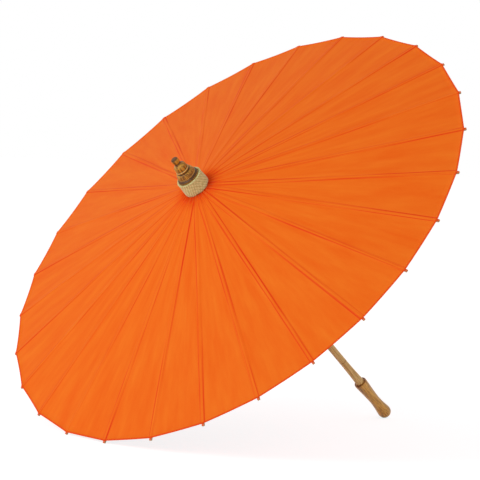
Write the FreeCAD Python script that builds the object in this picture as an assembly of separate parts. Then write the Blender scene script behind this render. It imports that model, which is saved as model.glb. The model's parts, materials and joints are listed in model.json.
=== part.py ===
import FreeCAD, Part
import math
import os

from FreeCAD import Matrix, Placement, Rotation, Vector

os.makedirs("parts", exist_ok=True)

# An open oil paper umbrella that lies on a floor, on the end of its handle and the tips of two ribs.
# Every piece is first made upright: Z runs up the shaft from the butt of the handle, and rib 1
# points along +X. lie_down then lays each piece on the floor. Millimetres and degrees.

# Canopy and frame
rib_count = 28
canopy_radius = 420.0           # shaft axis to the tip of an open rib
open_angle = 76.6               # between the shaft and an open rib
closed_angle = 3.0              # between the shaft and a closed rib
hinge_height = 584.3            # butt of the handle to the ribs' hinges
hinge_radius = 15.5             # shaft axis to the hinges, in the head and in the runner
stretcher_length = 160.0        # foot to rib pivot, and as far from there to the rib's hinge

# Ribs, split bamboo
rib_width = 4.0
rib_depth = 4.4
rib_root_width = 1.7            # the tongue in the head's slot
rib_root_length = 12.0
rib_shoulder_width = 2.6        # just past the tongue
rib_full_width_at = 130.0       # from the hinge
rib_taper_at = 230.0            # from the hinge to where the rib starts to thin
rib_tip_depth = 3.0
rib_slot_width = 2.0            # through the rib, for its stretcher
slot_room_above = 2.6           # slot past the stretcher, towards the head when open
slot_room_below = 8.0           # and towards the tip when closed

# Stretchers, split bamboo
stretcher_width = 2.6
stretcher_thin_width = 1.5      # in the rib's slot and in the runner's slot
stretcher_depth = 3.6
stretcher_foot_length = 28.0    # thin length at the runner
width_change = 4.0              # length over which a width changes

# Pivots
pin_radius = 0.8                # bamboo pin through a rib and its stretcher
thread_radius = 0.5             # waxed thread that ties the ribs into the head

# Paper and collar
paper_thickness = 0.5
paper_hole_margin = 1.0         # the hole round the head is this much wider than the head
paper_overhang = 6.0            # length of rib tip that shows past the paper
collar_thickness = 3.0
collar_height = 23.4
collar_flare = 0.8              # how much wider the collar is at its lower edge
collar_round = 1.0

# Head, turned wood. Heights are above the ribs' hinges
hub_cover = 2.5                 # wood outside the ring of thread
hub_below = 5.0
hub_above = 26.0
hub_shoulder = 1.8              # how far the hub's top edge is rounded in
hub_shoulder_top = 28.2
head_slot_top = 3.4
shaft_in_head = 24.0
plinth_radius = 15.0
plinth_foot = 29.6
plinth_groove = 0.8             # depth of the groove under the plinth
plinth_shoulder = 31.5
plinth_crown = 2.6              # how far the plinth's top edge is rounded in
plinth_top = 38.4
cup_radius = 11.0
cup_groove = 1.2                # depth of the groove under the cup
cup_foot = 39.7
cup_rim = 43.0
cup_shoulder_radius = 9.75
cup_shoulder = 51.0
neck_radius = 4.25
neck_height = 58.5
knob_radius = 5.75
knob_height = 62.3
knob_flat_radius = 1.2          # small flat on the very top
finial_top = 65.7
wide_bulge = 0.5                # how far an arc stands out from its chord: plinth, cup and knob
hub_bulge = 0.6
plinth_bulge = 0.35
neck_hollow = 0.7               # and in from its chord, at the neck

# Runner, turned wood
runner_flange_height = 7.0
runner_neck_step = 2.4          # from the floor of its slots in to its neck
runner_foot_step = 1.8          # from its neck out to its foot
runner_foot_height = 7.0
runner_length = 48.0
runner_round = 1.0
runner_cove = 2.0

# Shaft and handle
shaft_radius = 6.0
shaft_swell = 1.3               # how much thicker the shaft is where it meets the handle
shaft_swell_length = 62.0
shaft_swell_hollow = 0.35
handle_length = 92.0
handle_top_radius = 11.0
handle_waist_radius = 8.5
handle_waist_height = 43.0
handle_ball_radius = 11.25
handle_butt_radius = 3.0        # small flat on the end
handle_rim_round = 1.5
socket_depth = 66.0

# Clearances
slide_gap = 0.3                 # runner on shaft
tongue_gap = 0.25               # each side of a tongue in its slot
end_gap = 0.5                   # past the round end of a tongue
pin_gap = 0.08                  # running fit on a pin or thread
glue_gap = 0.1                  # glued joints, each side
paper_gap = 0.3                 # paper to rib, paper to head, collar to its neighbours

# Sizes that follow
half_depth = rib_depth / 2
open_rad = math.radians(open_angle)
closed_rad = math.radians(closed_angle)
rib_length = (canopy_radius - hinge_radius - half_depth * math.cos(open_rad)) / math.sin(open_rad)
foot_drop_open = 2 * stretcher_length * math.cos(open_rad)
pivot_radius = hinge_radius + stretcher_length * math.sin(open_rad)
pivot_height = hinge_height - stretcher_length * math.cos(open_rad)
runner_height = hinge_height - foot_drop_open
slot_floor_radius = hinge_radius - half_depth - end_gap
head_slot_width = rib_root_width + 2 * tongue_gap
runner_slot_width = stretcher_thin_width + 2 * tongue_gap
hub_radius = hinge_radius + hub_cover
runner_flange_radius = hub_radius
runner_neck_radius = slot_floor_radius - runner_neck_step
runner_foot_radius = runner_neck_radius + runner_foot_step
quarter_bulge = 1 - math.sqrt(0.5)      # of a quarter round of radius 1, out from its chord


def slot_reach(angle):
    """How far from its pivot a stretcher at this angle to its rib is clear of the rib's depth."""
    return half_depth / math.tan(angle) + stretcher_depth / 2 / math.sin(angle)


rib_slot_above = slot_reach(math.pi - 2 * open_rad) + slot_room_above
rib_slot_below = slot_reach(2 * closed_rad) + slot_room_below
stretcher_neck_length = rib_slot_below + width_change


def outline(start, *steps):
    """A closed face in the XZ plane. A step is a corner (r, z), or an arc (r, z, bulge).

    The arc's middle stands that far out from its chord, on the side away from the shaft.
    """
    edges = []
    here = Vector(start[0], 0, start[1])
    for step in steps + (start,):
        there = Vector(step[0], 0, step[1])
        if len(step) == 3:
            chord = there - here
            outward = Vector(chord.z, 0, -chord.x).normalize()
            edges.append(Part.Arc(here, (here + there) / 2 + outward * step[2], there).toShape())
        elif there.distanceToPoint(here) > 1e-7:
            edges.append(Part.LineSegment(here, there).toShape())
        here = there
    return Part.Face(Part.Wire(edges))


def dome(r, z, flat, top):
    """An outline step from (r, z) over a round cap to the edge of a small flat at the height top."""
    centre = (r ** 2 - flat ** 2 + z ** 2 - top ** 2) / (2 * (z - top))
    cap_radius = math.hypot(r, z - centre)
    half_chord = math.hypot(r - flat, top - z) / 2
    return (flat, top, cap_radius - math.sqrt(cap_radius ** 2 - half_chord ** 2))


def turned(face):
    return face.revolve(Vector(0, 0, 0), Vector(0, 0, 1), 360)


def turn_about_shaft(shape, number):
    """A copy of the piece at rib number's place, counted from 1."""
    copy = shape.copy()
    copy.rotate(Vector(0, 0, 0), Vector(0, 0, 1), (number - 1) * 360.0 / rib_count)
    return copy


def round_slots(width, floor_radius, reach, low, high):
    """Radial slots, one for each rib, as one cutter."""
    slot = Part.makeBox(reach - floor_radius, width, high - low, Vector(floor_radius, -width / 2, low))
    return Part.makeCompound([turn_about_shaft(slot, n) for n in range(1, rib_count + 1)])


def cross_pin(radius, length, r, z):
    """A cylinder along Y through the point (r, z)."""
    return Part.makeCylinder(radius, length, Vector(r, -length / 2, z), Vector(0, 1, 0))


def blank(side, plan):
    """A bar along +X from its side outline and its plan outline, both as (x, across) points."""
    room = 5 * rib_depth
    side_face = Part.Face(Part.makePolygon([Vector(x, -room, z) for x, z in side + side[:1]]))
    plan_face = Part.Face(Part.makePolygon([Vector(x, y, -room) for x, y in plan + plan[:1]]))
    return side_face.extrude(Vector(0, 2 * room, 0)).common(plan_face.extrude(Vector(0, 0, 2 * room)))


def mirrored_plan(half):
    """The whole plan outline from its (x, half width) points."""
    return half + [(x, -y) for x, y in reversed(half)]


def rib():
    """A rib along +X with its hinge at the origin and its outer face up, then its pivot pin."""
    side = [
        (0, -half_depth),
        (rib_taper_at, -half_depth),
        (rib_length, half_depth - rib_tip_depth),
        (rib_length, half_depth),
        (0, half_depth),
    ]
    shoulder_end = rib_root_length + width_change
    plan = mirrored_plan([
        (-rib_depth, rib_root_width / 2),
        (rib_root_length, rib_root_width / 2),
        (shoulder_end, rib_shoulder_width / 2),
        (rib_full_width_at, rib_width / 2),
        (2 * rib_length, rib_width / 2),
    ])
    bar = blank(side, plan).fuse(cross_pin(half_depth, rib_root_width, 0, 0)).removeSplitter()
    slot_length = rib_slot_above + rib_slot_below
    slot = Part.makeBox(slot_length, rib_slot_width, 2 * rib_depth,
                        Vector(stretcher_length - rib_slot_above, -rib_slot_width / 2, -rib_depth))
    bar = bar.cut(slot)
    bar = bar.cut(cross_pin(thread_radius + pin_gap, 2 * rib_width, 0, 0))
    bar = bar.cut(cross_pin(pin_radius + pin_gap / 2, 2 * rib_width, stretcher_length, 0))
    pin = cross_pin(pin_radius, rib_width, stretcher_length, 0)
    return Part.makeCompound([bar, pin])


def open_rib():
    """The rib in its open place, at rib 1."""
    piece = rib()
    piece.rotate(Vector(0, 0, 0), Vector(0, 1, 0), 90 - open_angle)
    piece.translate(Vector(hinge_radius, 0, hinge_height))
    return piece


def open_stretcher():
    """The stretcher in its open place, at rib 1, from its pivot in the rib to its foot."""
    half = stretcher_depth / 2
    side = [(0, -half), (stretcher_length, -half), (stretcher_length, half), (0, half)]
    neck_end = stretcher_neck_length + width_change
    foot_start = stretcher_length - stretcher_foot_length
    plan = mirrored_plan([
        (0, stretcher_thin_width / 2),
        (stretcher_neck_length, stretcher_thin_width / 2),
        (neck_end, stretcher_width / 2),
        (foot_start - width_change, stretcher_width / 2),
        (foot_start, stretcher_thin_width / 2),
        (stretcher_length, stretcher_thin_width / 2),
    ])
    bar = blank(side, plan)
    for x in (0, stretcher_length):
        bar = bar.fuse(cross_pin(half, stretcher_thin_width, x, 0))
    bar = bar.removeSplitter()
    bar = bar.cut(cross_pin(pin_radius + pin_gap, 2 * stretcher_width, 0, 0))
    bar = bar.cut(cross_pin(thread_radius + pin_gap, 2 * stretcher_width, stretcher_length, 0))
    bar.rotate(Vector(0, 0, 0), Vector(0, 1, 0), 90 + open_angle)
    bar.translate(Vector(pivot_radius, 0, pivot_height))
    return bar


def surface_height(r, above_rib):
    """Height of the line that lies above_rib over the outer face of an open rib, at radius r."""
    rise = (half_depth + above_rib) / math.sin(open_rad)
    return hinge_height + rise - (r - hinge_radius) / math.tan(open_rad)


def cone_of_panels(inner_radius, outer_radius, above_rib, extra_below):
    """A solid under flat panels that join the ribs, from the surface down to a flat base."""
    rings = []
    for r in (inner_radius, outer_radius):
        corners = [
            turn_about_shaft(Part.Vertex(r, 0, surface_height(r, above_rib)), n).Point
            for n in range(1, rib_count + 1)
        ]
        rings.append(Part.makePolygon(corners + corners[:1]))
    base_height = surface_height(outer_radius, above_rib) - extra_below
    panels = []
    upper, lower = rings[0].OrderedVertexes, rings[1].OrderedVertexes
    base = [Vector(v.X, v.Y, base_height) for v in lower]
    well = [Vector(v.X, v.Y, base_height) for v in upper]
    for k in range(rib_count):
        j = (k + 1) % rib_count
        quads = [
            (upper[k].Point, lower[k].Point, lower[j].Point, upper[j].Point),
            (lower[k].Point, base[k], base[j], lower[j].Point),
            (upper[k].Point, well[k], well[j], upper[j].Point),
            (well[k], base[k], base[j], well[j]),
        ]
        panels += [Part.Face(Part.makePolygon(list(q) + [q[0]])) for q in quads]
    return Part.makeSolid(Part.makeShell(panels))


def canopy():
    """The oiled paper, one pleated sheet over all the ribs, and the cloth collar over their roots."""
    inner = hub_radius + paper_hole_margin
    outer = canopy_radius - paper_overhang * math.sin(open_rad)
    room = paper_thickness + paper_gap
    top = cone_of_panels(inner, outer, paper_gap + paper_thickness, room)
    below = cone_of_panels(inner - room, outer + room, paper_gap, 3 * room)
    paper = top.cut(below)
    return Part.makeCompound([paper, collar()])


def collar():
    """The cloth collar round the head, sloped below to sit on the paper."""
    inner = hub_radius + paper_gap
    outer = inner + collar_thickness
    over_paper = 2 * paper_gap + paper_thickness
    foot_inner = surface_height(inner, over_paper)
    foot_outer = surface_height(outer + collar_flare, over_paper)
    top = foot_outer + collar_height
    return turned(outline(
        (inner, foot_inner),
        (outer + collar_flare, foot_outer),
        (outer, top - collar_round),
        (outer - collar_round, top, collar_round * quarter_bulge),
        (inner, top),
    ))


def head():
    """The turned head, finial above and slotted hub below in one piece, and its ring of thread."""
    z = hinge_height
    face = outline(
        (0, z + shaft_in_head + glue_gap),
        (shaft_radius + glue_gap, z + shaft_in_head + glue_gap),
        (shaft_radius + glue_gap, z - hub_below),
        (hub_radius, z - hub_below),
        (hub_radius, z + hub_above),
        (hub_radius - hub_shoulder, z + hub_shoulder_top, hub_bulge),
        (plinth_radius - plinth_groove, z + plinth_foot),
        (plinth_radius, z + plinth_shoulder, plinth_bulge),
        (plinth_radius - plinth_crown, z + plinth_top, wide_bulge),
        (cup_radius - cup_groove, z + cup_foot),
        (cup_radius, z + cup_rim, wide_bulge),
        (cup_shoulder_radius, z + cup_shoulder),
        (neck_radius, z + neck_height, -neck_hollow),
        (knob_radius, z + knob_height, wide_bulge),
        dome(knob_radius, z + knob_height, knob_flat_radius, z + finial_top),
        (0, z + finial_top),
    )
    piece = turned(face)
    piece = piece.cut(round_slots(head_slot_width, slot_floor_radius, hub_radius + 1,
                                  z - hub_below - 1, z + head_slot_top))
    centre = Vector(0, 0, z)
    piece = piece.cut(Part.makeTorus(hinge_radius, thread_radius + pin_gap / 2, centre))
    return Part.makeCompound([piece, Part.makeTorus(hinge_radius, thread_radius, centre)])


def runner():
    """The turned runner, with a slotted flange for the feet of the stretchers."""
    bore = shaft_radius + slide_gap
    top = runner_height + runner_flange_height / 2
    under = runner_height - runner_flange_height / 2
    foot = top - runner_length
    piece = turned(outline(
        (bore, top),
        (bore, foot),
        (runner_foot_radius - runner_round, foot),
        (runner_foot_radius, foot + runner_round),
        (runner_foot_radius, foot + runner_foot_height - runner_round),
        (runner_neck_radius, foot + runner_foot_height + runner_round),
        (runner_neck_radius, under - runner_cove),
        (slot_floor_radius, under),
        (runner_flange_radius, under),
        (runner_flange_radius, top - runner_round),
        (runner_flange_radius - runner_round, top),
    ))
    return piece.cut(round_slots(runner_slot_width, slot_floor_radius, runner_flange_radius + 1,
                                 under - 1, top + 1))


def shaft():
    """The bamboo shaft, from the bottom of the handle's socket into the head."""
    low = handle_length - socket_depth
    shoulder = handle_length + glue_gap
    return turned(outline(
        (0, low),
        (shaft_radius, low),
        (shaft_radius, shoulder),
        (shaft_radius + shaft_swell, shoulder),
        (shaft_radius, shoulder + shaft_swell_length, -shaft_swell_hollow),
        (shaft_radius, hinge_height + shaft_in_head),
        (0, hinge_height + shaft_in_head),
    ))


def handle():
    """The turned handle: a round end with a small flat, a slim waist and a straight rim."""
    ball = handle_ball_radius
    flat_height = ball - math.sqrt(ball ** 2 - handle_butt_radius ** 2)
    diagonal = ball * math.sqrt(0.5)
    side = Part.BSplineCurve()
    side.interpolate(Points=[
        Vector(ball, 0, ball),
        Vector((ball + handle_waist_radius) / 2, 0, (ball + handle_waist_height) / 2),
        Vector(handle_waist_radius, 0, handle_waist_height),
        Vector(handle_top_radius, 0, handle_length - handle_rim_round),
    ], InitialTangent=Vector(0, 0, 1), FinalTangent=Vector(0, 0, 1))
    bore = shaft_radius + glue_gap
    floor = handle_length - socket_depth - glue_gap
    corners = [
        Vector(handle_top_radius - handle_rim_round, 0, handle_length),
        Vector(bore, 0, handle_length),
        Vector(bore, 0, floor),
        Vector(0, 0, floor),
        Vector(0, 0, flat_height),
        Vector(handle_butt_radius, 0, flat_height),
    ]
    rim_in = handle_rim_round * quarter_bulge
    edges = [
        Part.Arc(corners[-1], Vector(diagonal, 0, ball - diagonal), Vector(ball, 0, ball)).toShape(),
        side.toShape(),
        Part.Arc(side.EndPoint, Vector(handle_top_radius - rim_in, 0, handle_length - rim_in),
                 corners[0]).toShape(),
    ]
    edges += [Part.LineSegment(a, b).toShape() for a, b in zip(corners, corners[1:])]
    return turned(Part.Face(Part.Wire(edges)))


def resting_corners():
    """Where two neighbouring ribs' tips reach, half a pitch either side of +X, as (x, height).

    The first is the outer corner of the ribs' ends and the second the inner one.
    """
    half_pitch = math.pi / rib_count
    corners = []
    for across in (half_depth, half_depth - rib_tip_depth):
        r = hinge_radius + rib_length * math.sin(open_rad) + across * math.cos(open_rad)
        z = hinge_height - rib_length * math.cos(open_rad) + across * math.sin(open_rad)
        corners.append((r * math.cos(half_pitch) + rib_width / 2 * math.sin(half_pitch), z))
    return corners


def floor_tilt():
    """The shaft's angle to the floor when two ribs' tips and the round end of the handle touch it."""
    x, z = resting_corners()[1]
    rise = z - handle_ball_radius
    reach = math.hypot(x, rise)
    return math.acos(handle_ball_radius / reach) - math.atan2(rise, x)


def lie_down():
    """Placement from the upright frame to the floor: the finial points to -Y, ribs 1 and 2 touch Z = 0."""
    tilt = floor_tilt()
    s, c = math.sin(tilt), math.cos(tilt)
    tip_over = Matrix(0, 1, 0, 0, -s, 0, -c, 0, -c, 0, s, 0, 0, 0, 0, 1)
    front = min(-s * x - c * z for x, z in resting_corners())
    back = handle_ball_radius * (1 - c)
    floor = handle_ball_radius * (s - 1)
    between_ribs = Rotation(Vector(0, 0, 1), -180.0 / rib_count)
    return Placement(Vector(0, -(front + back) / 2, -floor), Rotation(tip_over).multiply(between_ribs))


def export(name, shape):
    shape.Placement = lie_down().multiply(shape.Placement)
    shape.exportStep("parts/" + name + ".step")


export("shaft_and_handle", Part.makeCompound([shaft(), handle()]))
export("head", head())
export("runner", runner())
export("canopy", canopy())
for number in range(1, rib_count + 1):
    export("rib_%02d" % number, turn_about_shaft(open_rib(), number))
    export("stretcher_%02d" % number, turn_about_shaft(open_stretcher(), number))
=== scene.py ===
import bpy
import json
import math
from mathutils import Matrix, Vector


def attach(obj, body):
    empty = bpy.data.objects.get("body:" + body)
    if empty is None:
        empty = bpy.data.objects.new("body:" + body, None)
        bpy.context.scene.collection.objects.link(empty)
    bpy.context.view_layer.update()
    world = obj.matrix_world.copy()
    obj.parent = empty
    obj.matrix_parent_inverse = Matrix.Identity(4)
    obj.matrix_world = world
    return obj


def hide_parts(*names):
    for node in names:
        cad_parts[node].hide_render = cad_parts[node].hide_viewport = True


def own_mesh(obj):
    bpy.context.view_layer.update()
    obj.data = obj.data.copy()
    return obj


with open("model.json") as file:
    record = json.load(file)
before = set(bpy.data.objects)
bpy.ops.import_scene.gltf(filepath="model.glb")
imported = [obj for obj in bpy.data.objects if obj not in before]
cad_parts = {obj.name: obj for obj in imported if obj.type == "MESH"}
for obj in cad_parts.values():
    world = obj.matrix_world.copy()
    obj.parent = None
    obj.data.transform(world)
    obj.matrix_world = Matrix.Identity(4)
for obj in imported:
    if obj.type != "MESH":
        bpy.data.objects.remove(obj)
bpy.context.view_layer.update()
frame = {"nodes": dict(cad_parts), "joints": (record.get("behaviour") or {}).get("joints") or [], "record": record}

# Lengths in the settings below are millimetres, angles are degrees. In a function, s is its settings.
mm = 0.001
ribCount = 28


def jointNamed(name):
    return next(j for j in frame["joints"] if j["name"] == name)


def middleOf(points):
    return sum((Vector(p) for p in points), Vector()) / len(points)


# The umbrella's own upright frame, read from the joints: origin on the shaft between the rib hinges,
# Z up the shaft to the finial, rib 1 along +X.
hingePoints = [jointNamed(f"rib_{n:02d}_hinge")["pos_m"] for n in range(1, ribCount + 1)]
hingeCentre = middleOf(hingePoints)
upShaft = -Vector(jointNamed("runner_slide")["axis"]).normalized()
outRibOne = (Vector(hingePoints[0]) - hingeCentre).normalized()
layDown = Matrix.Translation(hingeCentre) @ Matrix((
    outRibOne, upShaft.cross(outRibOne), upShaft)).transposed().to_4x4()
stand = layDown.inverted()

hingeRadius = (Vector(hingePoints[0]) - hingeCentre).length
pivotPlace = stand @ Vector(jointNamed("stretcher_01_pivot")["pos_m"])
ribVector = pivotPlace - Vector((hingeRadius, 0, 0))
stretcherLength = ribVector.length
openAngle = math.atan2(ribVector.x, -ribVector.z)
ribDirection = ribVector.normalized()
ribNormal = Vector((-ribDirection.z, 0, ribDirection.x))
canopyRadius = max((stand @ v.co).x for v in frame["nodes"]["rib_01"].data.vertices)
runnerDrop = 2 * stretcherLength * math.cos(openAngle)
halfSector = math.pi / ribCount


def ribTurn(n):
    return (n - 1) * 2 * halfSector


def onlySelect(piece):
    bpy.ops.object.select_all(action="DESELECT")
    piece.select_set(True)
    bpy.context.view_layer.objects.active = piece


def newPiece(name):
    piece = bpy.context.object
    piece.name = name
    piece.data.name = name
    return piece


def pickFaces(piece, wanted):
    bpy.ops.object.mode_set(mode="EDIT")
    bpy.ops.mesh.select_mode(type="FACE")
    bpy.ops.mesh.select_all(action="DESELECT")
    bpy.ops.object.mode_set(mode="OBJECT")
    for face in piece.data.polygons:
        face.select = wanted(face)
    bpy.ops.object.mode_set(mode="EDIT")


def applyModifier(piece, kind, **settings):
    onlySelect(piece)
    modifier = piece.modifiers.new(kind.title(), kind)
    for key, value in settings.items():
        setattr(modifier, key, value)
    bpy.ops.object.modifier_apply(modifier=modifier.name)


def softenEdges(piece, width, angle=50):
    applyModifier(piece, "BEVEL", width=width * mm, segments=2, limit_method="ANGLE",
                  angle_limit=math.radians(angle))


def markPlace(piece, pivot=(0, 0, 0)):
    # the place of each point in the piece's own frame, so that a grain follows the piece in every pose
    marks = piece.data.attributes.new("ownPlace", "FLOAT_VECTOR", "POINT")
    flat = [c for v in piece.data.vertices for c in v.co - Vector(pivot)]
    marks.data.foreach_set("vector", flat)


def putDown(piece, turn=0.0, own=None):
    # from the upright frame to where the umbrella lies; own is the piece's place in that frame
    onlySelect(piece)
    piece.matrix_world = layDown @ Matrix.Rotation(turn, 4, "Z") @ (own or Matrix())
    bpy.ops.object.transform_apply(location=True, rotation=True, scale=True)


def finishPiece(piece, material, smooth, body, node=None):
    # smooth: edges flatter than this many degrees are shaded smooth
    onlySelect(piece)
    bpy.ops.object.shade_smooth_by_angle(angle=math.radians(smooth))
    piece.data.materials.clear()
    piece.data.materials.append(material)
    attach(piece, body)
    if node:
        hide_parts(node)


def turnedPiece(name, rings, sides):
    # a lathe piece: a circle at the foot, then its top face is extruded and resized ring by ring
    bpy.ops.object.select_all(action="DESELECT")
    radius, height = rings[0]
    bpy.ops.mesh.primitive_circle_add(vertices=sides, radius=radius * mm, fill_type="NGON",
                                      location=(0, 0, height * mm))
    piece = newPiece(name)
    bpy.ops.object.transform_apply(location=True, rotation=True, scale=True)
    bpy.ops.object.mode_set(mode="EDIT")
    for nextRadius, nextHeight in rings[1:]:
        bpy.ops.mesh.extrude_region_move(
            TRANSFORM_OT_translate={"value": (0, 0, (nextHeight - height) * mm)})
        share = nextRadius / radius
        bpy.ops.transform.resize(value=(share, share, 1), center_override=(0, 0, nextHeight * mm))
        radius, height = nextRadius, nextHeight
    bpy.ops.mesh.select_all(action="SELECT")
    bpy.ops.mesh.normals_make_consistent(inside=False)
    bpy.ops.object.mode_set(mode="OBJECT")
    return piece


def curveRings(stops, steps):
    # rings on a smooth line through the stops, each (radius, height): the usual Catmull-Rom curve
    rings = []
    for k in range(len(stops) - 1):
        before, here = stops[max(k - 1, 0)], stops[k]
        there, after = stops[k + 1], stops[min(k + 2, len(stops) - 1)]
        for step in range(steps):
            t = step / steps
            ring = []
            for a, b, c, d in zip(before, here, there, after):
                ring.append(0.5 * (2 * b + (c - a) * t + (2 * a - 5 * b + 4 * c - d) * t * t
                                   + (3 * b - a - 3 * c + d) * t ** 3))
            rings.append(tuple(ring))
    return rings + [stops[-1]]


def barPiece(name, box, sections):
    # a bar along +X: a box (from, to, width, low, high), then its end face is extruded through the
    # sections (x, width, low, high)
    start, x, width, low, high = box
    bpy.ops.object.select_all(action="DESELECT")
    bpy.ops.mesh.primitive_cube_add(size=1, location=((start + x) / 2 * mm, 0, (low + high) / 2 * mm))
    piece = newPiece(name)
    piece.scale = ((x - start) * mm, width * mm, (high - low) * mm)
    bpy.ops.object.transform_apply(location=True, rotation=True, scale=True)
    pickFaces(piece, lambda face: face.normal.x > 0.9)
    for newX, newWidth, newLow, newHigh in sections:
        middle, newMiddle = (low + high) / 2, (newLow + newHigh) / 2
        bpy.ops.mesh.extrude_region_move(
            TRANSFORM_OT_translate={"value": ((newX - x) * mm, 0, (newMiddle - middle) * mm)})
        bpy.ops.transform.resize(
            value=(1, newWidth / width, (newHigh - newLow) / (high - low)),
            center_override=(newX * mm, 0, newMiddle * mm))
        x, width, low, high = newX, newWidth, newLow, newHigh
    bpy.ops.object.mode_set(mode="OBJECT")
    return piece


# a bar's rounded end, in shares of its half depth: its blunt face, then its cheek a little further in
endShape = {"face": 0.35, "cheek": 0.75, "cheekAt": 0.7}


def roundedStart(half, width):
    face = half * endShape["face"]
    return (-half, -half * endShape["cheekAt"], width, -face, face)


def roundedEnd(x, half, width):
    face, cheek = half * endShape["face"], half * endShape["cheek"]
    return [(x + half * endShape["cheekAt"], width, -cheek, cheek), (x + half, width, -face, face)]


def copiesRound(master, name):
    # one copy of a rib-side piece for each rib, each with its own mesh
    copies = []
    for n in range(1, ribCount + 1):
        piece = master.copy()
        piece.data = master.data.copy()
        piece.name = piece.data.name = f"{name}_{n:02d}"
        bpy.context.collection.objects.link(piece)
        copies.append(piece)
    bpy.data.objects.remove(master)
    return copies


def colour(code):
    values = [int(code[k:k + 2], 16) / 255 for k in (1, 3, 5)]
    linear = [v / 12.92 if v <= 0.04045 else ((v + 0.055) / 1.055) ** 2.4 for v in values]
    return (*linear, 1.0)


def grey(value):
    # a step of a mask
    return (value, value, value, 1.0)


def newMaterial(name):
    material = bpy.data.materials.new(name)
    material.use_nodes = True
    material.node_tree.nodes.clear()
    return material


def addNode(material, kind, settings=(), **links):
    # settings: properties by name, sockets by number or name; links: socket = (node, output)
    node = material.node_tree.nodes.new(kind)
    for key, value in dict(settings).items():
        if isinstance(key, str) and hasattr(node, key):
            setattr(node, key, value)
        else:
            node.inputs[key].default_value = value
    for key, (source, output) in links.items():
        socket = int(key[1:]) if key[0] == "i" and key[1:].isdigit() else key.replace("_", " ")
        material.node_tree.links.new(node.inputs[socket], source.outputs[output])
    return node


def setRamp(node, stops):
    ramp = node.color_ramp
    while len(ramp.elements) > 1:
        ramp.elements.remove(ramp.elements[0])
    ramp.elements[0].position, ramp.elements[0].color = stops[0][0], stops[0][1]
    for place, value in stops[1:]:
        ramp.elements.new(place).color = value


def finishMaterial(material, shader):
    output = addNode(material, "ShaderNodeOutputMaterial")
    material.node_tree.links.new(output.inputs["Surface"], shader.outputs[0])
    return material


def waveScale(spacing):
    # a wave texture of scale 1 turns through 20 radians in a metre
    return 2 * math.pi / 20 / (spacing * mm)


paperFinish = {
    "dark": "#EE6209", "light": "#F27417",    # the dye's two tones, in soft streaks
    # painted shade: the redder line beside each rib
    "creaseShade": "#E43004",
    # painted shade: the red in the pleats next to the collar
    "pleatShade": "#E03402",
    "hem": "#E64206",
    "streaks": (9, 9, 5),         # noise cells to a radian round the shaft and to a metre outwards
    "streakScale": 2.2,           # makes them about 20 mm wide at the rim and 90 mm long
    "pleats": (28, 28, 30),       # the same for the small pleats, 0.8 mm wide at the collar
    "creaseAt": 2.9,              # from the rib's middle
    "creaseShadeFade": (0.4, 2.0),     # from the line of painted shade: full tone, then none
    "pleatShadeFade": (5, 32),          # from the rib's hinge
    "hemFade": (1.6, 3.4),        # from the rim
    "fibreSpacing": 0.9,
    "roughness": (0.6, 0.78),
}


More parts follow.
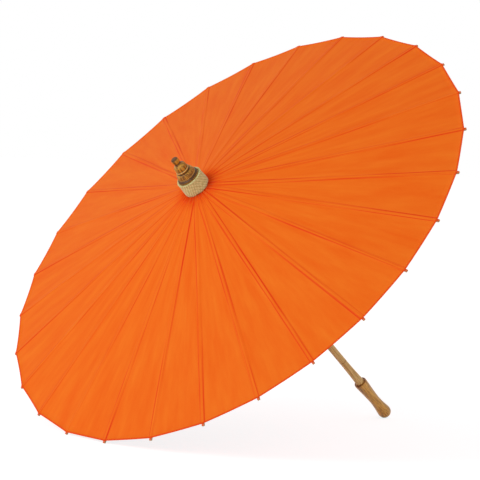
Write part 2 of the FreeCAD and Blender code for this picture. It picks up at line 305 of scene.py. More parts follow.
def makeOiledPaper(name, s):
    # Mulberry paper, dyed, pasted wet over the ribs and oiled: even colour with long soft streaks,
    # with painted shade as redder lines where it bends off a rib and as red in the pleats at the head.
    m = newMaterial(name)
    place = addNode(m, "ShaderNodeAttribute", {"attribute_name": "paperPlace"})
    cut = addNode(m, "ShaderNodeUVMap", {"uv_map": "cut"})
    asideAndAlong = addNode(m, "ShaderNodeSeparateXYZ", Vector=(cut, 0))

    spread = addNode(m, "ShaderNodeVectorMath", {"operation": "MULTIPLY", 1: s["streaks"]},
                     i0=(place, "Vector"))
    streak = addNode(m, "ShaderNodeTexNoise", {"Scale": s["streakScale"], "Detail": 5, "Roughness": 0.6},
                     Vector=(spread, 0))
    streakRamp = addNode(m, "ShaderNodeValToRGB", Fac=(streak, 0))
    setRamp(streakRamp, [(0.3, colour(s["dark"])), (0.72, colour(s["light"]))])

    # a broken line of painted shade along each side of the rib below; the large factor parts the two sides in the
    # noise
    side = addNode(m, "ShaderNodeVectorMath", {"operation": "MULTIPLY", 1: (900, 6, 0)}, i0=(cut, 0))
    sideAndRib = addNode(m, "ShaderNodeVectorMath", {"operation": "ADD"}, i0=(side, 0), i1=(spread, 0))
    aside = addNode(m, "ShaderNodeMath", {"operation": "ABSOLUTE"}, i0=(asideAndAlong, 0))
    off = addNode(m, "ShaderNodeMath", {"operation": "SUBTRACT", 1: s["creaseAt"] * mm}, i0=(aside, 0))
    near = addNode(m, "ShaderNodeMath", {"operation": "ABSOLUTE"}, i0=(off, 0))
    bend = addNode(m, "ShaderNodeMapRange",
                   {"From Min": s["creaseShadeFade"][0] * mm, "From Max": s["creaseShadeFade"][1] * mm,
                    "To Min": 1.0, "To Max": 0.0}, Value=(near, 0))
    broken = addNode(m, "ShaderNodeTexNoise", {"Scale": 0.8, "Detail": 2}, Vector=(sideAndRib, 0))
    brokenRamp = addNode(m, "ShaderNodeValToRGB", Fac=(broken, 0))
    setRamp(brokenRamp, [(0.46, grey(0.05)), (0.6, grey(1.0))])
    creaseShadeMask = addNode(m, "ShaderNodeMath", {"operation": "MULTIPLY"}, i0=(bend, 0), i1=(brokenRamp, 0))
    creaseShaded = addNode(m, "ShaderNodeMix", {"data_type": "RGBA", 7: colour(s["creaseShade"])},
                      i0=(creaseShadeMask, 0), i6=(streakRamp, 0))

    # painted shade in the pleats next to the collar
    pleats = addNode(m, "ShaderNodeVectorMath", {"operation": "MULTIPLY", 1: s["pleats"]},
                     i0=(place, "Vector"))
    pleatNoise = addNode(m, "ShaderNodeTexNoise", {"Scale": 1.0, "Detail": 2}, Vector=(pleats, 0))
    pleatRamp = addNode(m, "ShaderNodeValToRGB", Fac=(pleatNoise, 0))
    setRamp(pleatRamp, [(0.38, grey(0.1)), (0.6, grey(1.0))])
    reach = addNode(m, "ShaderNodeMapRange",
                    {"From Min": s["pleatShadeFade"][0] * mm, "From Max": s["pleatShadeFade"][1] * mm,
                     "To Min": 1.0, "To Max": 0.0}, Value=(asideAndAlong, 1))
    pleatShadeMask = addNode(m, "ShaderNodeMath", {"operation": "MULTIPLY", "use_clamp": True},
                     i0=(reach, 0), i1=(pleatRamp, 0))
    pleated = addNode(m, "ShaderNodeMix", {"data_type": "RGBA", 7: colour(s["pleatShade"])},
                      i0=(pleatShadeMask, 0), i6=(creaseShaded, 2))

    # the folded hem, two papers thick
    rim = addNode(m, "ShaderNodeAttribute", {"attribute_name": "fromRim"})
    hem = addNode(m, "ShaderNodeMapRange",
                  {"From Min": s["hemFade"][0] * mm, "From Max": s["hemFade"][1] * mm,
                   "To Min": 0.8, "To Max": 0.0}, Value=(rim, "Fac"))
    hemmed = addNode(m, "ShaderNodeMix", {"data_type": "RGBA", 7: colour(s["hem"])},
                     i0=(hem, 0), i6=(pleated, 2))

    # fibres four times as long as wide, and a matt oiled surface
    perFibre = 1 / (s["fibreSpacing"] * mm)
    fibrePlace = addNode(m, "ShaderNodeVectorMath",
                         {"operation": "MULTIPLY", 1: (perFibre, perFibre / 4, 1)}, i0=(cut, 0))
    fibre = addNode(m, "ShaderNodeTexNoise", {"Scale": 0.6, "Detail": 4, "Roughness": 0.7},
                    Vector=(fibrePlace, 0))
    rough = addNode(m, "ShaderNodeMapRange", {"To Min": s["roughness"][0], "To Max": s["roughness"][1]},
                    Value=(fibre, 0))
    wide = addNode(m, "ShaderNodeBump", {"Strength": 0.35, "Distance": 1.2 * mm}, Height=(streak, 0))
    fine = addNode(m, "ShaderNodeBump", {"Strength": 0.1, "Distance": 0.3 * mm},
                   Height=(fibre, 0), Normal=(wide, 0))
    shader = addNode(m, "ShaderNodeBsdfPrincipled", {"IOR": 1.5, "Specular IOR Level": 0.1},
                     Base_Color=(hemmed, 2), Roughness=(rough, 0), Normal=(fine, 0))
    return finishMaterial(m, shader)


def makeWood(name, light, dark, grainWidth, grainLong=18.0, roughness=0.42, coat=0.25, rings=(),
             onCad=False):
    # Turned or split wood and bamboo: long thin grain lines along the piece, a softer cloud over them,
    # a thin wax or varnish coat, and rings of another tone, each (tint, height, half width, strength).
    m = newMaterial(name)
    if onCad:
        objectPlace = addNode(m, "ShaderNodeTexCoord")
        place = addNode(m, "ShaderNodeMapping",
                        {"vector_type": "TEXTURE", "Location": hingeCentre,
                         "Rotation": layDown.to_euler()}, Vector=(objectPlace, "Object"))
    else:
        place = addNode(m, "ShaderNodeAttribute", {"attribute_name": "ownPlace"})
    across, lengthwise = 1 / (grainWidth * mm), 1 / (grainWidth * grainLong * mm)
    grainPlace = addNode(m, "ShaderNodeVectorMath",
                         {"operation": "MULTIPLY", 1: (across, across, lengthwise)},
                         i0=(place, "Vector"))
    grain = addNode(m, "ShaderNodeTexNoise", {"Scale": 1.0, "Detail": 4, "Roughness": 0.65,
                                              "Distortion": 0.3}, Vector=(grainPlace, 0))
    cloud = addNode(m, "ShaderNodeTexNoise", {"Scale": 0.22, "Detail": 2}, Vector=(grainPlace, 0))
    both = addNode(m, "ShaderNodeMix", {"data_type": "FLOAT", 0: 0.35}, i2=(grain, 0), i3=(cloud, 0))
    tone = addNode(m, "ShaderNodeValToRGB", Fac=(both, 0))
    setRamp(tone, [(0.42, colour(dark)), (0.58, colour(light))])
    surface = (tone, 0)
    if rings:
        parts = addNode(m, "ShaderNodeSeparateXYZ", Vector=(place, "Vector"))
    for tint, height, halfWidth, strength in rings:
        offset = addNode(m, "ShaderNodeMath", {"operation": "SUBTRACT", 1: height * mm}, i0=(parts, 2))
        distance = addNode(m, "ShaderNodeMath", {"operation": "ABSOLUTE"}, i0=(offset, 0))
        # full tone over the middle two fifths of the ring
        ring = addNode(m, "ShaderNodeMapRange",
                       {"From Min": halfWidth * 0.4 * mm, "From Max": halfWidth * mm,
                        "To Min": strength, "To Max": 0.0}, Value=(distance, 0))
        surface = (addNode(m, "ShaderNodeMix", {"data_type": "RGBA", 7: colour(tint)},
                           i0=(ring, 0), i6=surface), 2)
    rough = addNode(m, "ShaderNodeMapRange", {"To Min": roughness - 0.08, "To Max": roughness + 0.12},
                    Value=(grain, 0))
    bump = addNode(m, "ShaderNodeBump", {"Strength": 0.25, "Distance": 0.2 * mm}, Height=(grain, 0))
    shader = addNode(m, "ShaderNodeBsdfPrincipled",
                     {"IOR": 1.5, "Specular IOR Level": 0.3, "Coat Weight": coat, "Coat Roughness": 0.22},
                     Base_Color=surface, Roughness=(rough, 0), Normal=(bump, 0))
    return finishMaterial(m, shader)


bambooFinish = {"light": "#DDBB80", "dark": "#A97E48", "stain": "#E2540F", "stainFrom": 1.7}
plainBambooFinish = {"light": "#E0C08A", "dark": "#B08850"}


def makeSplitBamboo(name, light, dark, stain=None, stainFrom=0.0, fibreWidth=0.5, fibreLength=30.0):
    # Split bamboo, planed: straight fibres along the bar; the outer skin takes the canopy's dye, with a
    # ragged edge that soaks along the fibres.
    m = newMaterial(name)
    place = addNode(m, "ShaderNodeAttribute", {"attribute_name": "ownPlace"})
    across, lengthwise = 1 / (fibreWidth * mm), 1 / (fibreLength * mm)
    scaled = addNode(m, "ShaderNodeVectorMath",
                     {"operation": "MULTIPLY", 1: (lengthwise, across, across)}, i0=(place, "Vector"))
    fibre = addNode(m, "ShaderNodeTexNoise", {"Scale": 1.0, "Detail": 3, "Roughness": 0.6},
                    Vector=(scaled, 0))
    tone = addNode(m, "ShaderNodeValToRGB", Fac=(fibre, 0))
    setRamp(tone, [(0.35, colour(dark)), (0.65, colour(light))])
    surface = (tone, 0)
    if stain:
        parts = addNode(m, "ShaderNodeSeparateXYZ", Vector=(place, "Vector"))
        wet = addNode(m, "ShaderNodeMath", {"operation": "MULTIPLY_ADD", 1: 1.2 * mm, 2: -0.6 * mm},
                      i0=(fibre, 0))
        depth = addNode(m, "ShaderNodeMath", {"operation": "ADD"}, i0=(parts, 2), i1=(wet, 0))
        mask = addNode(m, "ShaderNodeMapRange",
                       {"From Min": (stainFrom - 0.4) * mm, "From Max": (stainFrom + 0.2) * mm,
                        "To Min": 0.0, "To Max": 0.92}, Value=(depth, 0))
        surface = (addNode(m, "ShaderNodeMix", {"data_type": "RGBA", 7: colour(stain)},
                           i0=(mask, 0), i6=surface), 2)
    bump = addNode(m, "ShaderNodeBump", {"Strength": 0.3, "Distance": 0.2 * mm}, Height=(fibre, 0))
    shader = addNode(m, "ShaderNodeBsdfPrincipled", {"IOR": 1.5, "Roughness": 0.5},
                     Base_Color=surface, Normal=(bump, 0))
    return finishMaterial(m, shader)


tapeFinish = {"light": "#F6F0B0", "dark": "#ACA05A", "threadSpacing": 2.6, "slant": 45}


def makeWovenTape(name, s):
    # Coarse cotton tape in plain weave, unbleached: soft threads, laid slanting round the head.
    m = newMaterial(name)
    cut = addNode(m, "ShaderNodeUVMap", {"uv_map": "cut"})
    wrap = addNode(m, "ShaderNodeMapping", {"Rotation": (0, 0, math.radians(s["slant"]))},
                   Vector=(cut, 0))
    threads = {"wave_type": "BANDS", "wave_profile": "SIN", "Scale": waveScale(s["threadSpacing"]),
               "Distortion": 0.6, "Detail": 1}
    warp = addNode(m, "ShaderNodeTexWave", {**threads, "bands_direction": "X"}, Vector=(wrap, 0))
    weft = addNode(m, "ShaderNodeTexWave", {**threads, "bands_direction": "Y"}, Vector=(wrap, 0))
    weave = addNode(m, "ShaderNodeMath", {"operation": "MULTIPLY"}, i0=(warp, 1), i1=(weft, 1))
    cloud = addNode(m, "ShaderNodeTexNoise", {"Scale": 260.0, "Detail": 4}, Vector=(cut, 0))
    both = addNode(m, "ShaderNodeMath", {"operation": "MULTIPLY_ADD", 1: 0.6},
                   i0=(cloud, 0), i2=(weave, 0))
    tone = addNode(m, "ShaderNodeValToRGB", Fac=(both, 0))
    setRamp(tone, [(0.25, colour(s["dark"])), (0.85, colour(s["light"]))])
    bump = addNode(m, "ShaderNodeBump", {"Strength": 0.7, "Distance": 0.4 * mm}, Height=(weave, 0))
    shader = addNode(m, "ShaderNodeBsdfPrincipled",
                     {"IOR": 1.5, "Roughness": 0.85, "Sheen Weight": 0.2, "Sheen Roughness": 0.5},
                     Base_Color=(tone, 0), Normal=(bump, 0))
    return finishMaterial(m, shader)


threadFinish = {"light": "#EFE6D0", "dark": "#B9A888", "twist": 0.8}


def makeWaxedThread(name, s):
    # Waxed cotton thread: two strands laid together, seen as slanting light and dark.
    m = newMaterial(name)
    place = addNode(m, "ShaderNodeAttribute", {"attribute_name": "ownPlace"})
    strand = addNode(m, "ShaderNodeTexWave", {"Scale": waveScale(s["twist"]), "Distortion": 1.0,
                                              "bands_direction": "DIAGONAL"}, Vector=(place, "Vector"))
    tone = addNode(m, "ShaderNodeValToRGB", Fac=(strand, 1))
    setRamp(tone, [(0.2, colour(s["dark"])), (0.8, colour(s["light"]))])
    bump = addNode(m, "ShaderNodeBump", {"Strength": 0.5, "Distance": 0.2 * mm}, Height=(strand, 1))
    shader = addNode(m, "ShaderNodeBsdfPrincipled", {"IOR": 1.48, "Roughness": 0.6},
                     Base_Color=(tone, 0), Normal=(bump, 0))
    return finishMaterial(m, shader)


# one pleated paper, as a panel on each rib that meets its neighbours halfway
paperSettings = {
    "ribHalfDepth": 2.2,
    "aboveRib": 0.28,
    "thickness": 0.35,
    "innerRadius": 19.2,
    "ribShows": 3.1,          # length of rib past the paper
    "sag": 1.2,               # between two ribs, at the rim
    "rimCurve": 0.5,          # how far the rim bows in between two ribs
    "ribDrop": 0.4,           # the paper comes down this much beside a rib
    "bendAt": 2.3,            # from the rib's middle, where the paper leaves it
    "bendWidth": 1.5,
    "hemWidth": 3.4,
    "hemRise": 0.3,           # the hem's upper paper, and how short its step up is
    "hemStep": 0.3,
    "pleatDepth": 0.7,        # small pleats at the collar
    "pleatReach": 16.0,
    "rows": 60,
    # columns from a rib's middle: at most this far in millimetres, or this share of half a panel
    "columns": [(0, 0), (1.3, 0.1), (2.1, 0.2), (2.6, 0.3), (3.1, 0.4), (3.9, 0.5), (6.0, 0.6),
                (11.0, 0.7), (20.0, 0.8), (32.0, 0.9), (99.0, 1.0)],
    "keepClosed": 0.09,
}


def ease(value):
    value = min(1.0, max(0.0, value))
    return value * value * (3 - 2 * value)


def paperPoint(along, offset, halfWidth, s):
    # along: metres from the hinge down the rib; offset: millimetres from the rib's middle
    root = Vector((hingeRadius, 0, 0)) + ribDirection * along
    cosHalf, sinHalf = math.cos(halfSector), math.sin(halfSector)
    chordMiddle = Vector((root.x * cosHalf * cosHalf, root.x * cosHalf * sinHalf, root.z))
    t = abs(offset) / halfWidth
    panelNormal = Vector((ribNormal.x * cosHalf, ribNormal.x * sinHalf, ribNormal.z)).normalized()
    share = min(1.0, root.x / canopyRadius)
    nearCollar = math.exp(-(root.x / mm - s["innerRadius"]) / s["pleatReach"])
    # near the collar the paper leaves the rib at half the distance, and lies in small pleats
    beside = ease((abs(offset) - s["bendAt"] * (1 - 0.5 * nearCollar)) / s["bendWidth"])
    fall = s["sag"] * share ** 2 * (1 - (1 - t) ** 2) + s["ribDrop"] * (1 - nearCollar) * beside
    fold = s["pleatDepth"] * nearCollar * (math.cos(4 * math.pi * t) - 1)
    lift = s["ribHalfDepth"] + s["aboveRib"] + s["thickness"]
    point = root.lerp(chordMiddle, t)
    # the surface turns from the rib's slope to the panel's in the first third
    point += ribNormal.lerp(panelNormal, min(1, 3 * t)) * (lift - fall + fold) * mm
    if offset < 0:
        point.y = -point.y
    return point


def makePaper(s, material):
    columns = [(-far, -share) for far, share in reversed(s["columns"][1:])] + s["columns"]
    lastRow, lastColumn = s["rows"], len(columns) - 1
    bpy.ops.object.select_all(action="DESELECT")
    bpy.ops.mesh.primitive_grid_add(x_subdivisions=lastRow, y_subdivisions=lastColumn, size=2)
    master = newPiece("paperPanel")
    startAlong = (s["innerRadius"] * mm - hingeRadius) / ribDirection.x
    endAlong = (canopyRadius - hingeRadius) / ribDirection.x - s["ribShows"] * mm
    mesh = master.data
    fromRim = mesh.attributes.new("fromRim", "FLOAT", "POINT")
    cut = []
    for k, vertex in enumerate(mesh.vertices):
        row = round((vertex.co.x + 1) / 2 * lastRow)
        far, share = columns[round((vertex.co.y + 1) / 2 * lastColumn)]
        end = endAlong - s["rimCurve"] * mm * (1 - (1 - abs(share)) ** 2)
        hemStart = end - s["hemWidth"] * mm
        along = startAlong + (hemStart - startAlong) * min(1, row / (lastRow - 2))
        inHem = row > lastRow - 2
        if inHem:
            along = hemStart + s["hemStep"] * mm if row < lastRow else end
        halfWidth = (hingeRadius + ribDirection.x * along) * math.tan(halfSector) / mm
        offset = math.copysign(min(abs(far), abs(share) * halfWidth), share)
        fromRim.data[k].value = end - along
        vertex.co = paperPoint(along, offset, halfWidth, s)
        if inHem:
            vertex.co += ribNormal * s["hemRise"] * mm
        cut.append((offset * mm, along))
    uv = mesh.uv_layers[0]
    uv.name = "cut"
    for loop in mesh.loops:
        uv.data[loop.index].uv = cut[loop.vertex_index]
    applyModifier(master, "SOLIDIFY", thickness=s["thickness"] * mm, offset=-1)
    panels = copiesRound(master, "paperPanel")
    for n, panel in enumerate(panels, 1):
        turn = ribTurn(n)
        place = panel.data.attributes.new("paperPlace", "FLOAT_VECTOR", "POINT")
        for k, vertex in enumerate(panel.data.vertices):
            bearing = math.atan2(vertex.co.y, vertex.co.x) + turn
            place.data[k].vector = (math.cos(bearing), math.sin(bearing), vertex.co.xy.length)
        putDown(panel, turn)
        finishPiece(panel, material, 60, f"rib_{n:02d}", "canopy")
        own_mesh(panel)
    print("paper panels:", len(panels))


# heights are from the rib hinges
collarSettings = {
    "inner": 18.4,
    "top": 25.0,
    "foot": 1.4,
    "topRadius": 20.7,
    "footRadius": 21.6,
    "belly": 0.25,            # the band swells this much halfway up
    "edge": 0.5,              # how far the foot and the turned edge round in
    "foldHeight": 2.6,        # the doubled rim, and how far it stands out
    "foldOut": 0.5,
    "foldStep": 0.3,
    "foldTop": 0.7,
    "lip": 0.4,
    "turnedIn": 4.0,          # cloth folded to the inside
    "thickness": 0.9,
    "wave": 0.5,              # the foot is wavy up to this height above it
    "waveReach": 6.0,
    "lumps": 0.012,           # share of the radius
    "rows": 7,
    "sides": 96,
}


def makeCollar(s, material):
    foldFoot = s["top"] - s["foldHeight"]
    rise = foldFoot - s["foot"] - s["edge"]
    rings = [(s["footRadius"] - s["edge"], s["foot"]), (s["footRadius"], s["foot"] + s["edge"])]
    for k in range(1, s["rows"]):
        t = k / s["rows"]
        taper = (s["topRadius"] - s["footRadius"]) * t
        rings.append((s["footRadius"] + taper + s["belly"] * math.sin(math.pi * t),
                      s["foot"] + s["edge"] + rise * t))
    foldRadius = s["topRadius"] + s["foldOut"]
    rings += [(s["topRadius"], foldFoot), (foldRadius, foldFoot + s["foldStep"]),
              (foldRadius, s["top"] - s["foldTop"]), (s["topRadius"], s["top"]),
              (s["inner"] + s["lip"], s["top"]), (s["inner"], s["top"] - s["edge"])]
    collar = turnedPiece("clothCollar", rings, s["sides"])
    # open the top and the foot, then give the cloth its wall
    pickFaces(collar, lambda face: len(face.vertices) > 4)
    bpy.ops.mesh.delete(type="FACE")
    bpy.ops.object.mode_set(mode="OBJECT")
    for vertex in collar.data.vertices:
        bearing = math.atan2(vertex.co.y, vertex.co.x)
        low = max(0.0, 1 - (vertex.co.z / mm - s["foot"]) / s["waveReach"])
        vertex.co.z -= low * s["wave"] * mm * (math.sin(5 * bearing) + 0.6 * math.sin(11 * bearing + 1))
        bulge = 1 + s["lumps"] * math.sin(3 * bearing + 0.5) * (1 - low)
        vertex.co.x *= bulge
        vertex.co.y *= bulge
    uv = collar.data.uv_layers[0]
    uv.name = "cut"
    for face in collar.data.polygons:
        corners = [collar.data.vertices[v].co for v in face.vertices]
        bearings = [math.atan2(corner.y, corner.x) for corner in corners]
        wraps = max(bearings) - min(bearings) > math.pi
        for loop, corner, bearing in zip(face.loop_indices, corners, bearings):
            if wraps and bearing < 0:
                bearing += 2 * math.pi
            uv.data[loop].uv = (bearing * s["footRadius"] * mm, corner.z)
    applyModifier(collar, "SOLIDIFY", thickness=s["thickness"] * mm, offset=-1)
    putDown(collar)
    finishPiece(collar, material, 50, "root", "canopy")
    print("collar done")


finialSettings = {
    # (radius, height), from the hub's top edge to the tip
    "rings": [(17.6, 25.2), (18.0, 26.0), (17.7, 27.4), (16.6, 28.2), (15.4, 28.8), (14.7, 29.3),
              (14.7, 29.9), (15.2, 30.3), (15.3, 31.2), (15.2, 32.4), (14.8, 34.4), (14.1, 36.4),
              (13.2, 37.9), (12.3, 38.4), (10.6, 38.8), (10.0, 39.2), (10.0, 39.7), (10.5, 40.3),
              (11.0, 41.3), (11.2, 42.2), (11.0, 43.0), (10.4, 43.4), (10.0, 43.9), (10.1, 45.0),
              (10.1, 47.2), (9.8, 49.6), (9.2, 51.0), (7.6, 52.4), (6.0, 53.6), (5.2, 54.8),
              (4.9, 56.0), (5.0, 57.2), (5.5, 58.4), (5.8, 59.8), (5.8, 62.6), (5.5, 64.2),
              (4.7, 65.2), (3.0, 65.6), (1.2, 65.7)],
    "edge": 0.15,
    "sides": 96,
    "wood": {"light": "#D09430", "dark": "#683C0A", "grainWidth": 1.6, "roughness": 0.45, "coat": 0.0},
    # dark rings in the grooves, the neck and at the knob's top, and painted highlights as pale rings on two
    # ridges, each (height, half width, strength)
    "darkRingTone": "#482400",
    "darkRings": [(28.0, 1.7, 0.95), (39.3, 1.0, 0.95), (43.9, 0.7, 0.6), (55.8, 2.4, 0.8), (65.2, 1.8, 0.85)],
    # painted highlights on two ridges
    "highlightTone": "#EED08A",
    "bright": [(30.7, 0.7, 0.7), (42.6, 0.6, 0.8)],
}


def finialRings(s):
    # the dark rings, then the painted highlight rings
    return ([(s["darkRingTone"], *ring) for ring in s["darkRings"]]
            + [(s["highlightTone"], *ring) for ring in s["bright"]])


def makeFinial(s, material):
    finial = turnedPiece("finial", s["rings"], s["sides"])
    softenEdges(finial, s["edge"], 28)
    markPlace(finial)
    putDown(finial)
    finishPiece(finial, material, 40, "root", "head")
    print("finial done")


hubSettings = {
    "core": 12.8,             # radius of the slots' floor
    "outer": 18.0,
    "low": -5.0,
    "slotTop": 3.4,
    "high": 25.2,
    "slotWidth": 2.2,
    "toothSunk": 0.6,         # a tooth goes this far into the core, and up into the hub above the slots
    "toothUp": 0.2,
    "toothEdge": (0.5, 0.4),  # the bevel at a tooth's outer foot: inwards and up
    "sides": 112,
    "wood": {"light": "#C99A5A", "dark": "#9A6A34", "grainWidth": 1.8},
}


def makeHub(s, material):
    hub = turnedPiece("upperHub", [(s["core"], s["low"]), (s["core"], s["slotTop"]),
                                   (s["outer"], s["slotTop"]), (s["outer"], s["high"])], s["sides"])
    # one tooth between two slots, copied round the core
    innerWidth = 2 * s["core"] * math.sin(halfSector) - s["slotWidth"]
    outerWidth = 2 * s["outer"] * math.sin(halfSector) - s["slotWidth"]
    edgeIn, edgeUp = s["toothEdge"]
    toothTop = s["slotTop"] + s["toothUp"]
    tooth = barPiece("hubTooth",
                     (s["core"] - s["toothSunk"], s["outer"] - edgeIn, innerWidth, s["low"], toothTop),
                     [(s["outer"], outerWidth, s["low"] + edgeUp, toothTop)])
    for vertex in tooth.data.vertices:
        if vertex.co.x > (s["outer"] - 2 * edgeIn) * mm:
            vertex.co.y = math.copysign(outerWidth / 2 * mm, vertex.co.y)
    teeth = copiesRound(tooth, "hubTooth")
    bpy.ops.object.select_all(action="DESELECT")
    for n, piece in enumerate(teeth):
        piece.matrix_world = Matrix.Rotation((2 * n + 1) * halfSector, 4, "Z")
        piece.select_set(True)
    hub.select_set(True)
    bpy.context.view_layer.objects.active = hub
    bpy.ops.object.join()
    bpy.ops.object.transform_apply(location=True, rotation=True, scale=True)
    markPlace(hub)
    putDown(hub)
    finishPiece(hub, material, 30, "root", "head")
    print("hub done")


threadSettings = {"thickness": 1.0, "sidesRound": 168, "sidesAcross": 10}


def makeThreadRing(name, height, body, material, s, node=None):
    bpy.ops.object.select_all(action="DESELECT")
    bpy.ops.mesh.primitive_torus_add(major_radius=hingeRadius, minor_radius=s["thickness"] / 2 * mm,
                                     major_segments=s["sidesRound"], minor_segments=s["sidesAcross"],
                                     location=(0, 0, height))
    ring = newPiece(name)
    bpy.ops.object.transform_apply(location=True, rotation=True, scale=True)
    markPlace(ring)
    putDown(ring)
    finishPiece(ring, material, 60, body, node)
    print(name, "done")


shaftSettings = {
    "radius": 6.0,
    "top": 24.0,
    "swellRadius": 7.3,       # at the handle
    "swellLength": 62.0,
    "swellSteps": 10,
    "swellPower": 2.2,
    "inHandle": 20.0,
    "neck": (-0.5, 1.5),      # the swell's widest stretch, from the handle's rim
    "knots": [-96.0, -262.0, -436.0],     # heights of the bamboo's joints, planed nearly flush
    "knotShape": [(-2.2, 0.0), (-1.0, 0.12), (-0.3, 0.14), (0.2, -0.05), (0.9, 0.1), (2.2, 0.0)],
    "sides": 48,
    "wood": {"light": "#FFDC92", "dark": "#C4924A", "grainWidth": 1.2, "grainLong": 40, "coat": 0.1},
    "knotRing": ("#7A4E22", 1.0, 0.6),    # tone, half width, strength
}
handleSettings = {
    "length": 92.0,
    "flatDepth": 0.41,        # the small flat at its round end lies this far in
    # (radius, height above the round end)
    "stops": [(2.6, 0.35), (6.2, 1.9), (9.6, 5.4), (11.2, 11.0), (10.7, 18.0), (9.4, 28.0), (8.55, 40.0),
              (8.6, 48.0), (9.3, 62.0), (10.3, 76.0), (10.9, 86.0), (11.0, 89.6)],
    "steps": 6,
    "rim": [(10.9, 90.8), (10.4, 91.7), (9.6, 92.0)],
    "sides": 72,
    "wood": {"light": "#F4BA58", "dark": "#9C6418", "grainWidth": 1.5, "roughness": 0.36, "coat": 0.3},
    # a dark mark at the end and a dark line at the rim: tone, height, half width, strength
    "marks": [("#4A2A10", 0.0, 3.0, 0.8), ("#3A1E06", 91.7, 0.9, 0.55)],
}


def knotRings(s):
    tone, halfWidth, strength = s["knotRing"]
    return [(tone, knot, halfWidth, strength) for knot in s["knots"]]


def makeShaft(s, handleTop, material):
    low, high = handleTop + s["neck"][0], handleTop + s["neck"][1]
    rings = [(s["radius"], handleTop - s["inHandle"]), (s["swellRadius"], low), (s["swellRadius"], high)]
    for k in range(1, s["swellSteps"] + 1):
        t = k / s["swellSteps"]
        swell = (s["swellRadius"] - s["radius"]) * (1 - t) ** s["swellPower"]
        rings.append((s["radius"] + swell, high + s["swellLength"] * t))
    for knot in s["knots"]:
        rings += [(s["radius"] + swell, knot + offset) for offset, swell in s["knotShape"]]
    rings.append((s["radius"], s["top"]))
    rings.sort(key=lambda ring: ring[1])
    shaft = turnedPiece("bambooShaft", rings, s["sides"])
    markPlace(shaft)
    putDown(shaft)
    finishPiece(shaft, material, 40, "root", "shaft_and_handle")
    print("shaft done")


def makeHandle(s, butt, material):
    rings = [(radius, height + butt) for radius, height in curveRings(s["stops"], s["steps"]) + s["rim"]]
    handle = turnedPiece("turnedHandle", rings, s["sides"])
    markPlace(handle, (0, 0, butt * mm))
    putDown(handle)
    finishPiece(handle, material, 50, "root", "shaft_and_handle")
    print("handle done")


ribSettings = {
    "depth": 4.4,
    "width": 4.0,
    "rootWidth": 1.7,         # the tongue in the hub's slot
    "rootLength": 12.0,
    "shoulder": 4.0,
    "shoulderWidth": 2.6,
    "fullWidthAt": 130.0,
    "taperAt": 230.0,         # from here the rib gets thinner to its tip
    "tipDepth": 3.0,
    "tipRound": 0.8,          # the tip's rounding: length, and how much it loses at each side
    "tipWidth": 3.44,
    "tipUp": 0.3,
    "tipDown": 0.2,
    "slotWidth": 2.0,         # the slot for the stretcher, above and below its pin
    "slotAbove": 11.0,
    "slotBelow": 46.0,
    "edge": 0.35,
    "pinRadius": 0.8,
    "pinShows": 0.3,
    "pinEdge": 0.2,
}
stretcherSettings = {
    "depth": 3.6,
    "width": 2.6,
    "thin": 1.5,              # its ends, in the rib's slot and in the runner's
    "neck": 50.0,
    "foot": 28.0,
    "change": 4.0,
    "edge": 0.25,
}


def makeRibs(s, material, pinMaterial):
    half = s["depth"] / 2
    length = (canopyRadius - hingeRadius - half * mm * ribNormal.x) / ribDirection.x / mm
    tipLow = half - s["tipDepth"]
    rib = barPiece("bambooRib", roundedStart(half, s["rootWidth"]), [
        (0, s["rootWidth"], -half, half),
        (s["rootLength"], s["rootWidth"], -half, half),
        (s["rootLength"] + s["shoulder"], s["shoulderWidth"], -half, half),
        (s["fullWidthAt"], s["width"], -half, half),
        (s["taperAt"], s["width"], -half, half),
        (length - s["tipRound"], s["width"], tipLow, half),
        (length, s["tipWidth"], tipLow + s["tipUp"], half - s["tipDown"])])
    slotMiddle = stretcherLength / mm + (s["slotBelow"] - s["slotAbove"]) / 2
    slotLength = s["slotBelow"] + s["slotAbove"]
    bpy.ops.object.select_all(action="DESELECT")
    bpy.ops.mesh.primitive_cube_add(size=1, location=(slotMiddle * mm, 0, 0),
                                    scale=(slotLength * mm, s["slotWidth"] * mm, 3 * s["depth"] * mm))
    cutter = newPiece("slotCutter")
    applyModifier(rib, "BOOLEAN", object=cutter, operation="DIFFERENCE", solver="EXACT")
    bpy.data.objects.remove(cutter)
    softenEdges(rib, s["edge"])
    markPlace(rib)
    bpy.ops.object.select_all(action="DESELECT")
    bpy.ops.mesh.primitive_cylinder_add(vertices=16, radius=s["pinRadius"] * mm,
                                        depth=(s["width"] + s["pinShows"]) * mm,
                                        rotation=(math.radians(90), 0, 0),
                                        location=(stretcherLength, 0, 0))
    pin = newPiece("pivotPin")
    bpy.ops.object.transform_apply(location=True, rotation=True, scale=True)
    softenEdges(pin, s["pinEdge"])
    markPlace(pin)
    own = Matrix((ribDirection, (0, 1, 0), ribNormal)).transposed().to_4x4()
    own.translation = (hingeRadius, 0, 0)
    for master, name, finish in ((rib, "bambooRib", material), (pin, "pivotPin", pinMaterial)):
        for n, piece in enumerate(copiesRound(master, name), 1):
            putDown(piece, ribTurn(n), own)
            finishPiece(piece, finish, 40, f"rib_{n:02d}", f"rib_{n:02d}")
    print("ribs and pins done, rib length", round(length, 1), "mm")


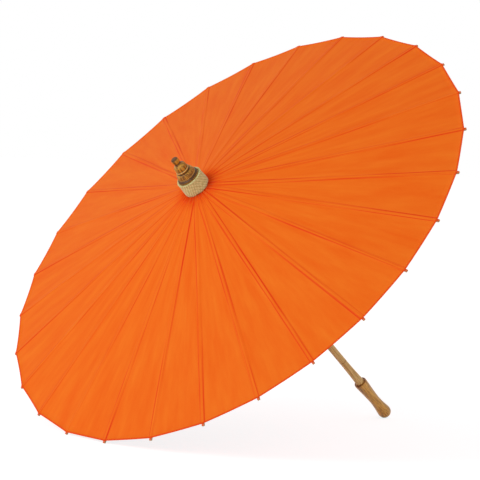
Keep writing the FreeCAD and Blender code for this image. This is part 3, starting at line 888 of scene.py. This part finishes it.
def makeStretchers(s, material):
    half = s["depth"] / 2
    length = stretcherLength / mm
    stretcher = barPiece("bambooStretcher", roundedStart(half, s["thin"]), [
        (0, s["thin"], -half, half),
        (s["neck"], s["thin"], -half, half),
        (s["neck"] + s["change"], s["width"], -half, half),
        (length - s["foot"] - s["change"], s["width"], -half, half),
        (length - s["foot"], s["thin"], -half, half),
        (length, s["thin"], -half, half),
        *roundedEnd(length, half, s["thin"])])
    softenEdges(stretcher, s["edge"])
    markPlace(stretcher)
    inward = Vector((-ribDirection.x, 0, ribDirection.z))
    sideways = Vector((0, -1, 0))
    own = Matrix((inward, sideways, inward.cross(sideways))).transposed().to_4x4()
    own.translation = pivotPlace
    for n, piece in enumerate(copiesRound(stretcher, "bambooStretcher"), 1):
        putDown(piece, ribTurn(n), own)
        finishPiece(piece, material, 40, f"stretcher_{n:02d}", f"stretcher_{n:02d}")
    print("stretchers done")


# a bamboo tongue let into the shaft; x runs up the shaft and the heights are from the shaft's middle
catchSettings = {
    "below": 45.0,            # its free end, under the runner's thread
    "box": (-26.0, -13.0, 3.0, 5.4, 6.6),
    "sections": [(-3.0, 2.85, 6.6, 8.16), (0.0, 2.7, 7.0, 8.44)],
    "edge": 0.25,
}


def makeCatch(s, material):
    catch = barPiece("catchTongue", s["box"], s["sections"])
    softenEdges(catch, s["edge"], 40)
    markPlace(catch)
    own = Matrix(((0, 0, 1), (0, 1, 0), (-1, 0, 0))).transposed().to_4x4()
    own = Matrix.Rotation(math.pi, 4, "Z") @ own
    own.translation = (0, 0, -runnerDrop - s["below"] * mm)
    putDown(catch, halfSector, own)
    finishPiece(catch, material, 40, "root")
    print("catch done")


# Places and sizes of the stage are metres.
stageSettings = {
    "floorSize": 60,
    "floor": "#E7E7E7",       # as the object is lit by it
    # What is looked at is this floor and its glow, white together. The paper throws orange into its own
    # shadow, so red hangs more on the light there and less on the glow, and the shadow stays near grey.
    "floorSeen": "#F4ADA6",
    "floorGlow": "#C6E7EA",
    "air": "#FFFFFF",
    "airStrength": 0.55,
    "lampAim": (0, 0, 0.3),
    # name: place, size, power in watts
    "lamps": {"keyLight": ((-0.7, -3.2, 1.7), 1.6, 49), "fillLight": ((3.0, -1.8, 1.6), 2.0, 12)},
}


def lookedAt(owner):
    # 1 where a surface is looked at, also in a reflection or through glass, and 0 where it only gives light
    path = addNode(owner, "ShaderNodeLightPath")
    straight = addNode(owner, "ShaderNodeMath", {"operation": "MAXIMUM"},
                       i0=(path, "Is Camera Ray"), i1=(path, "Is Glossy Ray"))
    return addNode(owner, "ShaderNodeMath", {"operation": "MAXIMUM"},
                   i0=(straight, 0), i1=(path, "Is Transmission Ray"))


def makeStage(s):
    bpy.ops.object.select_all(action="DESELECT")
    bpy.ops.mesh.primitive_plane_add(size=s["floorSize"], location=(0, 0, 0))
    floor = newPiece("studioFloor")
    m = newMaterial("paintedFloor")
    seen = lookedAt(m)
    plain = addNode(m, "ShaderNodeBsdfDiffuse", {"Color": colour(s["floor"])})
    thin = addNode(m, "ShaderNodeBsdfDiffuse", {"Color": colour(s["floorSeen"])})
    glow = addNode(m, "ShaderNodeEmission", {"Color": colour(s["floorGlow"]), "Strength": 1.0})
    bright = addNode(m, "ShaderNodeAddShader", i0=(thin, 0), i1=(glow, 0))
    both = addNode(m, "ShaderNodeMixShader", i0=(seen, 0), i1=(plain, 0), i2=(bright, 0))
    finishMaterial(m, both)
    floor.data.materials.append(m)

    world = bpy.data.worlds.new("studioAir")
    bpy.context.scene.world = world
    world.use_nodes = True
    world.node_tree.nodes.clear()
    seen = lookedAt(world)
    air = addNode(world, "ShaderNodeBackground",
                  {"Color": colour(s["air"]), "Strength": s["airStrength"]})
    white = addNode(world, "ShaderNodeBackground", {"Color": colour(s["air"]), "Strength": 1.0})
    both = addNode(world, "ShaderNodeMixShader", i0=(seen, 0), i1=(air, 0), i2=(white, 0))
    output = addNode(world, "ShaderNodeOutputWorld")
    world.node_tree.links.new(output.inputs["Surface"], both.outputs[0])

    for name, (place, size, power) in s["lamps"].items():
        bpy.ops.object.light_add(type="AREA", location=place)
        lamp = bpy.context.object
        lamp.name = name
        lamp.data.shape = "DISK"
        lamp.data.size = size
        lamp.data.energy = power
        aim = Vector(s["lampAim"]) - Vector(place)
        lamp.rotation_euler = aim.to_track_quat("-Z", "Y").to_euler()
    print("floor, air and lamps ready")


# the place is in metres
cameraSettings = {"place": (2.438, -2.1834, 0.4488), "yaw": 48.58, "pitch": -2.62, "roll": 2.79,
                  "lens": 154.6, "sensor": 36}


def makeCamera(s):
    bpy.ops.object.camera_add(location=s["place"])
    camera = bpy.context.object
    camera.name = "studioCamera"
    aim = (Matrix.Rotation(math.radians(s["yaw"]), 3, "Z")
           @ Matrix.Rotation(math.radians(90 + s["pitch"]), 3, "X")
           @ Matrix.Rotation(math.radians(s["roll"]), 3, "Z"))
    camera.rotation_euler = aim.to_euler()
    camera.data.sensor_width = s["sensor"]
    camera.data.lens = s["lens"]
    camera.data.clip_end = 100
    bpy.context.scene.camera = camera
    print("camera ready")


bpy.context.scene.view_settings.view_transform = "Standard"
makeStage(stageSettings)
makeCamera(cameraSettings)

oiledPaper = makeOiledPaper("oiledMulberryPaper", paperFinish)
wovenTape = makeWovenTape("unbleachedCottonTape", tapeFinish)
finialWood = makeWood("turnedWaxedWood", **finialSettings["wood"], rings=finialRings(finialSettings))
plainTurned = makeWood("turnedPlainWood", **hubSettings["wood"])
handleWood = makeWood("turnedBambooRoot", **handleSettings["wood"], rings=handleSettings["marks"])
poleBamboo = makeWood("varnishedBambooPole", **shaftSettings["wood"], rings=knotRings(shaftSettings))
splitBamboo = makeSplitBamboo("splitBamboo", **bambooFinish)
plainBamboo = makeSplitBamboo("plainSplitBamboo", **plainBambooFinish)
waxedThread = makeWaxedThread("waxedCottonThread", threadFinish)
print("materials ready")

makePaper(paperSettings, oiledPaper)
makeCollar(collarSettings, wovenTape)
makeFinial(finialSettings, finialWood)
makeHub(hubSettings, plainTurned)
makeThreadRing("hubThread", 0, "root", waxedThread, threadSettings, "head")

# the first mount is the small flat at the handle's round end
handleFlat = (stand @ Vector(frame["record"]["mounts"][0]["pos_m"])).z / mm
butt = handleFlat - handleSettings["flatDepth"]
makeShaft(shaftSettings, butt + handleSettings["length"], poleBamboo)
makeHandle(handleSettings, butt, handleWood)
makeRibs(ribSettings, splitBamboo, plainBamboo)
makeStretchers(stretcherSettings, plainBamboo)
makeThreadRing("runnerThread", -runnerDrop, "runner", waxedThread, threadSettings)
makeCatch(catchSettings, plainBamboo)

# the runner keeps its own shape and gets the turned wood
runnerSettings = {"light": "#C99A5A", "dark": "#8F6230", "grainWidth": 1.8}
runnerWood = makeWood("turnedRunnerWood", **runnerSettings, onCad=True)
for materialSlot in frame["nodes"]["runner"].material_slots:
    materialSlot.material = runnerWood
print("runner finished")
